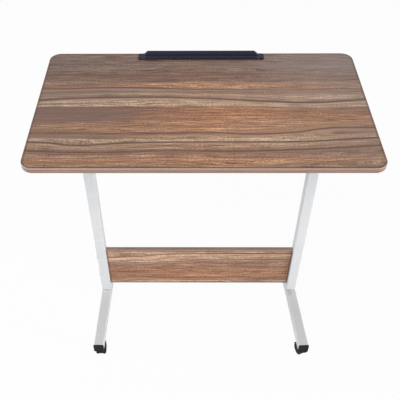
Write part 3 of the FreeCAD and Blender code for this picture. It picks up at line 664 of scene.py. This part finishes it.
# The print of each board, with some painted light on the top. Bands and tints: level and colour.
# Spots: place along and across, half length, half height, strength and colour.
top_sheet = {
    "half_length": board_length / 2, "half_width": board_depth / 2, "corner": board_corner,
    "rim_shade": 0.50, "contrast": 1.18,
    "lines": [
        line(0.018, 0.032, 0.0056, 0.009, 0.014, 1.0, 1.0,
             [(-350, 14), (-255, 24), (-150, 27), (-60, 26), (40, 20.5), (150, 10.5), (225, 7),
              (290, 11.5), (350, 19)]),
        line(-0.0090, 0.012, 0.0036, 0.001, 0.001, 0.7, 0.2,
             [(-350, -9), (-100, -8), (0, -6), (350, -5)]),
        line(0.060, 0.022, 0.0060, 0.006, 0.016, 0.95, 0.35,
             [(-350, 57), (-290, 58), (-240, 61), (-175, 62), (-105, 60), (-20, 56), (120, 53),
              (350, 56)]),
        line(-0.097, 0.024, 0.0034, 0.004, 0.012, 0.45, 0.9,
             [(-350, -97), (-100, -97), (20, -94), (95, -98), (170, -94), (245, -80), (350, -68)]),
        line(-0.123, 0.020, 0.0050, 0.001, 0.008, 1.0, 1.0,
             [(-350, -122), (-305, -125), (-240, -133), (-205, -130), (-130, -124), (20, -121.5),
              (180, -121.5), (270, -115), (350, -108)]),
        line(-0.151, 0.022, 0.0034, 0.009, 0.006, 0.85, 0.9,
             [(-350, -149), (-255, -154), (-155, -153), (-75, -149), (45, -151), (145, -148),
              (245, -142), (350, -132)]),
        line(0.128, 0.016, 0.0014, 0.004, 0.004, 0.35, 0.2,
             [(-350, 129), (-220, 130), (-130, 124), (-60, 142), (40, 146), (160, 136),
              (350, 128)]),
        line(0.105, 0.014, 0.0016, 0.003, 0.004, 0.15, 0.4,
             [(-350, 104), (0, 106), (120, 112), (220, 106), (350, 101)]),
        line(-0.186, 0.014, 0.0014, 0.003, 0.006, 0.2, 0.4,
             [(-350, -184), (0, -190), (130, -189), (230, -181), (350, -173)]),
        line(-0.1962, 0.002, 0.0026, 0.001, 0.001, 0.55, 0.45, [(-350, -196.2), (350, -196.2)]),
    ],
    "bands": [
        (-0.200, tone_tan), (0.200, tone_grey), (-0.176, tone_amber), (-0.162, tone_tan),
        (-0.152, tone_brown), (-0.140, tone_tan), (-0.116, tone_pale), (-0.106, tone_tan),
        (-0.098, tone_brown), (-0.088, tone_amber), (-0.062, tone_amber), (-0.040, tone_red),
        (-0.012, tone_red), (-0.006, tone_pale), (0.008, tone_pale), (0.016, tone_tan),
        (0.032, tone_pale), (0.042, tone_tan), (0.050, tone_grey), (0.060, tone_tan),
        (0.070, tone_amber), (0.078, tone_amber), (0.088, tone_grey), (0.106, tone_brown),
        (0.135, tone_grey),
    ],
    # Tints on the top: partly the print's own tone, partly painted light. Painted shade darkens the
    # left end, and a painted bluish sheen cools the right end.
    "tints": [
        (-0.35, (0.74, 0.77, 0.80)), (0.35, (0.80, 0.88, 1.00)), (-0.24, (0.78, 0.80, 0.80)),
        (-0.14, (0.86, 0.86, 0.85)), (-0.03, (0.98, 0.97, 0.95)), (0.08, (1.0, 1.0, 1.0)),
        (0.20, (0.95, 0.98, 1.0)),
    ],
    "spots": [
        (-0.230, 0.042, 0.260, 0.034, 0.62, tone_umber),
        (-0.300, -0.030, 0.260, 0.042, 0.85, tone_umber),
        (-0.330, -0.080, 0.200, 0.060, 0.40, tone_umber),
        # Painted sheen on the far right of the top.
        (0.300, 0.150, 0.240, 0.090, 0.30, tone_painted_sheen),
        (0.200, -0.090, 0.200, 0.012, 0.40, tone_amber),
        (-0.270, -0.107, 0.170, 0.008, 0.60, tone_umber),
        (-0.230, -0.180, 0.200, 0.014, 0.30, tone_red),
        # Painted shade of the ledge, on the top just in front of it.
        (0.020, 0.160, 0.120, 0.012, 0.30, tone_umber),
        (0.270, 0.025, 0.300, 0.080, 0.40, tone_clay),
        (0.280, -0.110, 0.240, 0.070, 0.34, tone_clay),
        (0.092, 0.110, 0.040, 0.0045, 0.50, tone_dark),
        (-0.180, 0.130, 0.050, 0.0035, 0.35, tone_dark),
        (0.085, 0.163, 0.026, 0.003, 0.4, tone_dark),
        (-0.300, 0.113, 0.040, 0.003, 0.25, tone_dark),
        (0.300, 0.104, 0.050, 0.0028, 0.35, tone_dark),
    ],
}
top_face = wood_face("wood_face_top", 1, 0.0, top_sheet, top_seed)
dress(top_face, ["tabletop"])

panel_low, panel_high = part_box("panel_edge_band")
panel_middle = (panel_low.z + panel_high.z) / 2
panel_sheet = {
    "half_length": panel_high.x, "half_width": (panel_high.z - panel_low.z) / 2,
    "corner": panel_corner, "rim_shade": 0.55, "contrast": 0.98,
    "lines": [
        line(0.055, 0.020, 0.0046, 0.006, 0.012, 0.6, 1.0,
             [(-350, 36), (-247, 41), (-174, 45), (-135, 49), (-81, 55), (-31, 57), (84, 58),
              (350, 59)]),
        line(0.026, 0.022, 0.0030, 0.005, 0.008, 0.75, 0.85,
             [(-350, 18), (-147, 18), (-100, 21), (-47, 25), (-16, 29), (30, 33), (76, 32),
              (350, 34)]),
        line(-0.047, 0.014, 0.0020, 0.006, 0.008, 0.7, 0.5,
             [(-350, -45), (-247, -46), (-147, -45), (-60, -50), (40, -47), (128, -44),
              (350, -48)]),
        line(-0.024, 0.012, 0.0020, 0.004, 0.004, 0.5, 0.1,
             [(-350, -22), (-247, -23), (-174, -24), (0, -20), (350, -24)]),
        line(-0.061, 0.010, 0.0014, 0.002, 0.002, 0.3, 0.4, [(-350, -60), (0, -61), (350, -60)]),
    ],
    "bands": [
        (-0.200, tone_tan), (0.200, tone_cream), (-0.067, tone_pale), (-0.061, tone_cream),
        (-0.055, tone_tan), (-0.046, tone_red), (-0.038, tone_amber), (-0.012, tone_amber),
        (0.000, tone_tan), (0.012, tone_tan), (0.021, tone_tan), (0.032, tone_pale),
        (0.049, tone_cream), (0.058, tone_pale), (0.066, tone_pale),
    ],
    "tints": [
        (-0.35, (0.73, 0.74, 0.79)), (0.35, (0.62, 0.64, 0.68)), (-0.20, (0.77, 0.77, 0.80)),
        (-0.10, (0.81, 0.79, 0.80)), (0.0, (0.77, 0.76, 0.79)), (0.12, (0.74, 0.74, 0.79)),
        (0.20, (0.69, 0.70, 0.75)),
    ],
    "spots": [
        (-0.180, 0.014, 0.150, 0.011, 0.55, tone_umber),
        (0.128, -0.017, 0.007, 0.004, 0.8, tone_dark),
        (0.076, 0.062, 0.008, 0.002, 0.6, tone_dark),
        (-0.195, -0.023, 0.040, 0.003, 0.4, tone_dark),
        (-0.060, -0.049, 0.012, 0.002, 0.5, tone_dark),
    ],
}
panel_face = wood_face("wood_face_panel", 2, panel_middle, panel_sheet, panel_seed)
dress(panel_face, ["lower_panel"])


# Edge bands
# Thin printed plastic band, glued on with hot glue and trimmed to a small glossy round. A painted
# highlight runs along one of its rims and painted shade along the other. Its cut edge shows dark in
# the board's face, and painted shade darkens the rim of the board's face.

band_colour = (0.335, 0.205, 0.140)
band_dark_colour = (0.235, 0.137, 0.098)
band_cut_colour = (0.085, 0.058, 0.044)
# Pale colour of a painted highlight along the band's upper rim (its front rim on the panel).
band_painted_highlight_colour = (0.58, 0.41, 0.33)
band_streak_stretch = (9.0, 9.0, 600.0)
band_streak_range = (0.35, 0.7)
band_streak_strength = 0.3
band_streak_depth = 0.00005
band_cut_range = (0.80, 0.97)
top_band_gloss, panel_band_gloss = 0.7, 0.5
band_roughness = 0.4
band_coat_roughness = 0.24
band_rim_start = 0.0010
band_painted_highlight_reach = 0.0028
band_painted_highlight_share = 0.75
band_painted_shade_reach = 0.0055
band_painted_shade_share = 0.55


def edge_band(name, cut_axis, painted_shade_rim, painted_highlight_rim, gloss):
    """Printed plastic band with long streaks, a painted highlight along one rim and painted shade
    along the other, and dark where its cut edge lies in the board's face."""
    material, tree, shader = new_material(name, band_roughness)
    shader.inputs["Coat Weight"].default_value = gloss
    shader.inputs["Coat Roughness"].default_value = band_coat_roughness
    looks = add(tree, "TexCoord")
    drawn = add(tree, "Mapping", {"Vector": looks.outputs["Object"], "Scale": band_streak_stretch})
    streak = noise(tree, drawn.outputs[0], 1.0, 3.0)
    share = scaled(tree, streak, band_streak_range)
    colour = blend_colours(tree, share, opaque(band_colour), opaque(band_dark_colour))
    level = add(tree, "SeparateXYZ", {0: looks.outputs["Object"]}).outputs[cut_axis]
    # A painted highlight along one rim, and painted shade in the band's dark colour along the
    # other.
    for rim, reach, strength, tone in (
        (painted_highlight_rim, band_painted_highlight_reach, band_painted_highlight_share, band_painted_highlight_colour),
        (painted_shade_rim, band_painted_shade_reach, band_painted_shade_share, band_dark_colour),
    ):
        away = calc(tree, "ABSOLUTE", calc(tree, "SUBTRACT", level, rim))
        near = smooth_share(tree, away, reach, band_rim_start)
        colour = blend_colours(tree, calc(tree, "MULTIPLY", near, strength), colour, opaque(tone))
    turned = add(tree, "SeparateXYZ", {0: looks.outputs["Normal"]}).outputs[cut_axis]
    cut = scaled(tree, calc(tree, "ABSOLUTE", turned), band_cut_range)
    colour = blend_colours(tree, cut, colour, opaque(band_cut_colour))
    bump = add(tree, "Bump", {
        "Strength": band_streak_strength, "Distance": band_streak_depth, "Height": streak,
    })
    wire(tree, shader, {"Base Color": colour, "Normal": bump.outputs[0]})
    return material


band_low, band_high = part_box("tabletop_edge_band")
top_band = edge_band("edge_band_top", 2, band_low.z, band_high.z, top_band_gloss)
panel_band = edge_band("edge_band_panel", 1, panel_high.y, panel_low.y, panel_band_gloss)
dress(top_band, ["tabletop_edge_band"])
dress(panel_band, ["panel_edge_band"])


# Moulded plastic
# Ledge, caps, collars, knobs, glides and caster hoods: injection-moulded in black, with the
# fine sparked texture of the mould.

plastic_colour = (0.009, 0.009, 0.011)
plastic_scuff_colour = (0.055, 0.057, 0.062)
plastic_wear = {"Radius": 0.0008, "Break Up": 500.0, "Amount": 0.45}
plastic_roughness = 0.5
plastic_specular = 0.18
plastic_grain_scale = 2600.0
plastic_grain_strength = 0.5
plastic_grain_depth = 0.00004
plastic_cloud_scale = 35.0
ledge_colour = (0.015, 0.019, 0.038)
ledge_roughness = 0.38


def moulded_plastic(name, base, roughness):
    """Black moulded plastic: sparked texture, paler scuffs on the edges, slow sheen changes."""
    material, tree, shader = new_material(name, roughness)
    shader.inputs["Specular IOR Level"].default_value = plastic_specular
    place = add(tree, "TexCoord").outputs["Object"]
    edges = add(tree, "Group", plastic_wear, node_tree=edge_wear)
    cloud = noise(tree, place, plastic_cloud_scale, 3.0)
    bump = add(tree, "Bump", {
        "Strength": plastic_grain_strength, "Distance": plastic_grain_depth,
        "Height": noise(tree, place, plastic_grain_scale, 2.0), "Normal": edges.outputs["Normal"],
    })
    wire(tree, shader, {
        "Base Color": blend_colours(
            tree, edges.outputs["Mask"], opaque(base), opaque(plastic_scuff_colour)),
        "Roughness": scaled(tree, cloud, after=(roughness - 0.08, roughness + 0.1)),
        "Normal": bump.outputs[0],
    })
    return material


places = [end + "_" + side for end in ("front", "rear") for side in sides]
moulding = moulded_plastic("black_moulding", plastic_colour, plastic_roughness)
dress(moulding, ["arm_end_caps"])
sided_mouldings = ["column_collar", "inner_column_glide", "brake_pedal_rear"]
dress(moulding, [name + "_" + side for name in sided_mouldings for side in sides])
dress(moulding, [name + "_" + place for name in ("foot_cap", "caster_hood") for place in places])
dress(moulded_plastic("ledge_moulding", ledge_colour, ledge_roughness), ["tablet_ledge"])


# Hand knobs
# Fluted knobs of the height clamps, moulded over the ends of their screws, with a domed cap
# pressed into the middle of the grip.

knob_segments = 128
knob_flutes = 8
knob_radius = 0.018
knob_flute_radius = 0.005
knob_flute_depth = 0.0018
# Rings of turned and moulded bodies: height, reach, and the outline and waist of those not round.
knob_rings = [
    (0.0130, 0.00405), (0.0, 0.00405), (0.0, 0.0078), (0.0007, 0.0085), (0.0046, 0.0085),
    (0.0050, 0.0092), (0.0050, 0.0166, "flutes"), (0.0054, 0.0175, "flutes"),
    (0.0063, 0.0180, "flutes"), (0.0155, 0.0180, "flutes"), (0.0169, 0.01755, "flutes"),
    (0.0180, 0.0167, "flutes"), (0.0187, 0.0156, "flutes"), (0.0190, 0.0144, "flutes"),
    (0.0190, 0.0118), (0.0182, 0.0115), (0.0182, 0.0109), (0.0186, 0.0106), (0.01885, 0.0085),
    (0.0190, 0.0045), (0.0190, 0.0010),
]


def bar_reach(angle, half_length, half_width):
    """How far a straight bar's outline lies from its middle at an angle."""
    along = max(abs(math.cos(angle)), 1e-6)
    across = max(abs(math.sin(angle)), 1e-6)
    return min(half_length / along, half_width / across)


def outline_reach(angle, reach, kind="round", waist=0.0):
    """How far a round, hexagonal, fluted, crossed or slotted outline lies from its middle."""
    if kind == "hexagon":
        return reach / math.cos((angle + math.pi / 6) % (math.pi / 3) - math.pi / 6)
    if kind == "slot":
        return bar_reach(angle, reach, waist)
    if kind == "cross":
        return max(bar_reach(angle, reach, waist), bar_reach(angle + math.pi / 2, reach, waist))
    if kind == "flutes":
        pitch = 2 * math.pi / knob_flutes
        away = (angle + pitch / 2) % pitch - pitch / 2
        centre = knob_radius + knob_flute_radius - knob_flute_depth
        room = knob_flute_radius ** 2 - (centre * math.sin(away)) ** 2
        if room > 0:
            return reach - knob_radius + min(knob_radius, centre * math.cos(away) - math.sqrt(room))
    return reach


def ring_stack(shape, segments, rings, spot):
    """A closed body through rings, each given by its height, its reach, and its outline and waist
    where it isn't round."""
    ring = bmesh.ops.create_circle(shape, segments=segments, radius=1.0)["verts"]
    made = list(ring)
    edges = list({edge for vert in ring for edge in vert.link_edges})
    bmesh.ops.edgeloop_fill(shape, edges=edges)
    for index, (height, *outline) in enumerate(rings):
        if index > 0:
            grown = bmesh.ops.extrude_edge_only(shape, edges=edges)["geom"]
            ring = [part for part in grown if isinstance(part, bmesh.types.BMVert)]
            edges = [part for part in grown if isinstance(part, bmesh.types.BMEdge)]
            made += ring
        for vert in ring:
            angle = math.atan2(vert.co.y, vert.co.x)
            far = outline_reach(angle, *outline)
            vert.co = (far * math.cos(angle), far * math.sin(angle), height)
    bmesh.ops.edgeloop_fill(shape, edges=edges)
    bmesh.ops.transform(shape, matrix=spot, verts=made)


def facing(direction, place):
    """The matrix that points a body's Z axis along a direction, from a place."""
    turn = Vector(direction).to_track_quat("Z", "Y").to_matrix().to_4x4()
    return Matrix.Translation(place) @ turn


for side, outwards in zip(sides, (-1, 1)):
    node = "clamp_knob_" + side
    low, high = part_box(node)
    middle = (low + high) / 2
    middle.x = low.x if outwards > 0 else high.x
    shape = bmesh.new()
    ring_stack(shape, knob_segments, knob_rings, facing((outwards, 0, 0), middle))
    finish_piece("clamp_knob_fluted_" + side, shape, moulding, "clamp_screw_" + side, node)


# Caster wheels
# Hard nylon wheels, turned in pairs on one steel axle: an eased tread, a dished side with ribs
# and a closed hub.

wheel_colour = (0.008, 0.008, 0.009)
wheel_roughness = 0.42
wheel_segments = 64
wheel_width = 0.0066
wheel_ribs = 9
wheel_rib_size = (0.0070, 0.0010, 0.0011)
wheel_rib_place = (0.0092, 0.0, 0.0055)
wheel_rings = [
    (0.0052, 0.00205), (0.0, 0.00205), (0.0, 0.0149), (0.00032, 0.01556), (0.0010, 0.0160),
    (0.0056, 0.0160), (0.00628, 0.01556), (wheel_width, 0.0149), (wheel_width, 0.0130),
    (0.0064, 0.0127), (0.0053, 0.0122), (0.0053, 0.0064), (0.0061, 0.0060), (0.00655, 0.0053),
    (wheel_width, 0.0044), (wheel_width, 0.0006),
]

wheel_nylon = moulded_plastic("wheel_nylon", wheel_colour, wheel_roughness)

for place in places:
    middles = {}
    for mark in "ab":
        low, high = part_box("caster_wheel_" + place + "_" + mark)
        middles[mark] = (low + high) / 2
    for mark, other in ("ab", "ba"):
        node = "caster_wheel_" + place + "_" + mark
        outwards = (middles[mark] - middles[other]).normalized()
        spot = facing(outwards, middles[mark] - outwards * wheel_width / 2)
        shape = bmesh.new()
        ring_stack(shape, wheel_segments, wheel_rings, spot)
        for index in range(wheel_ribs):
            turn = Matrix.Rotation(2 * math.pi / wheel_ribs * index, 4, "Z")
            size = Matrix.Diagonal((*wheel_rib_size, 1.0))
            lift = Matrix.Translation(wheel_rib_place)
            bmesh.ops.create_cube(shape, size=1.0, matrix=spot @ turn @ lift @ size)
        finish_piece("nylon_wheel_" + place + "_" + mark, shape, wheel_nylon, node, node)


# Fasteners and steel parts
# Turned and pressed steel, zinc plated, and black for the two screws of the ledge. Socket screws
# hold the top on its arms, and bolts that end in cross dowels hold the panel.

zinc_colour = (0.62, 0.63, 0.64)
zinc_roughness = 0.35
black_screw_colour = (0.035, 0.035, 0.04)
black_screw_roughness = 0.4
stain_scale = 300.0
nylon_colour = (0.78, 0.78, 0.74)
nylon_roughness = 0.5


def plated_steel(name, base, roughness, metallic):
    """Plated steel with stains and an uneven sheen."""
    material, tree, shader = new_material(name, roughness, metallic)
    stain = noise(tree, add(tree, "TexCoord").outputs["Object"], stain_scale, 4.0)
    shade = scaled(tree, stain, after=(0.8, 1.1))
    grey = add(tree, "CombineColor", {0: shade, 1: shade, 2: shade}).outputs[0]
    wire(tree, shader, {
        "Base Color": blend_colours(tree, 1.0, opaque(base), grey, "MULTIPLY"),
        "Roughness": scaled(tree, stain, after=(roughness - 0.08, roughness + 0.12)),
    })
    return material


zinc = plated_steel("zinc_plate", zinc_colour, zinc_roughness, 1.0)
black_steel = plated_steel("black_screw", black_screw_colour, black_screw_roughness, 0.6)
dress(zinc, ["insert_nuts", "stem_nuts", "clamp_screw_left", "clamp_screw_right"])
dress(zinc, [name + "_" + place for name in ("caster_stem", "caster_axle") for place in places])
nylon = moulded_plastic("nylon_tip", nylon_colour, nylon_roughness)
dress(nylon, ["clamp_tip_left", "clamp_tip_right"])

fastener_segments = 48
shank_radius = 0.0030
socket_reach = 0.0020


def socket_screw(shape, spot, head_radius, head_height, shank_length):
    """A low round head with a hexagonal socket, and its shank below the seat."""
    ring_stack(shape, fastener_segments, [
        (-shank_length, shank_radius * 0.8), (-shank_length + shank_radius * 0.3, shank_radius),
        (0.0, shank_radius), (0.0, head_radius * 0.97),
        (head_height * 0.12, head_radius), (head_height * 0.55, head_radius),
        (head_height * 0.84, head_radius * 0.93), (head_height, head_radius * 0.78),
        (head_height, socket_reach * 1.08, "hexagon"),
        (head_height * 0.93, socket_reach, "hexagon"),
        (head_height * 0.25, socket_reach, "hexagon"),
        (head_height * 0.15, socket_reach * 0.3),
    ], spot)


def four_fasteners(name, node, body, draw, places_of):
    """One piece for the four like fasteners of a node."""
    shape = bmesh.new()
    for spot in places_of(*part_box(node)):
        draw(shape, spot)
    finish_piece(name, shape, zinc, body, node)


bolt_head_radius, bolt_head_height, bolt_shank_length = 0.0055, 0.0030, 0.0550
four_fasteners(
    "panel_socket_bolts", "panel_bolts", "base",
    lambda shape, spot: socket_screw(
        shape, spot, bolt_head_radius, bolt_head_height, bolt_shank_length),
    lambda low, high: [
        facing((side, 0, 0), (side * (high.x - bolt_head_height), 0.0, z))
        for side in (-1, 1) for z in (low.z + bolt_head_radius, high.z - bolt_head_radius)],
)

arm_head_radius, arm_head_height, arm_shank_length = 0.0055, 0.0034, 0.0280
four_fasteners(
    "tabletop_socket_screws", "tabletop_screws", "top",
    lambda shape, spot: socket_screw(
        shape, spot, arm_head_radius, arm_head_height, arm_shank_length),
    lambda low, high: [
        facing((0, 0, -1), (side * (high.x - arm_head_radius), end * (high.y - arm_head_radius),
                            low.z + arm_head_height))
        for side in (-1, 1) for end in (-1, 1)],
)

dowel_radius, dowel_length = 0.0050, 0.0100
dowel_rings = [
    (-dowel_length, 0.0045), (-dowel_length + 0.0005, dowel_radius), (-0.0005, dowel_radius),
    (0.0, 0.0045), (0.0, 0.0040, "slot", 0.0008), (-0.0014, 0.0040, "slot", 0.0008),
    (-0.0014, 0.0010, "slot", 0.0002),
]
four_fasteners(
    "panel_slotted_dowels", "panel_cross_dowels", "base",
    lambda shape, spot: ring_stack(shape, fastener_segments, dowel_rings, spot),
    lambda low, high: [
        facing((0, 1, 0), (side * (high.x - dowel_radius), high.y, z))
        for side in (-1, 1) for z in (low.z + dowel_radius, high.z - dowel_radius)],
)

ledge_head_radius, ledge_head_height = 0.0035, 0.0022
ledge_screw_rings = [
    (-0.0113, 0.0004), (-0.0092, 0.00175), (0.0, 0.00175), (0.0, 0.0034), (0.0003, 0.0035),
    (0.0010, 0.0034), (0.0017, 0.0029), (0.0021, 0.0021), (0.0022, 0.0019),
    (0.0022, 0.0017, "cross", 0.00042), (0.0011, 0.0014, "cross", 0.00034), (0.0009, 0.0002),
]
low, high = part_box("ledge_screws")
shape = bmesh.new()
for side in (-1, 1):
    seat = (side * (high.x - ledge_head_radius), (low.y + high.y) / 2, high.z - ledge_head_height)
    ring_stack(shape, fastener_segments, ledge_screw_rings, Matrix.Translation(seat))
finish_piece("ledge_cross_screws", shape, black_steel, "top", "ledge_screws")
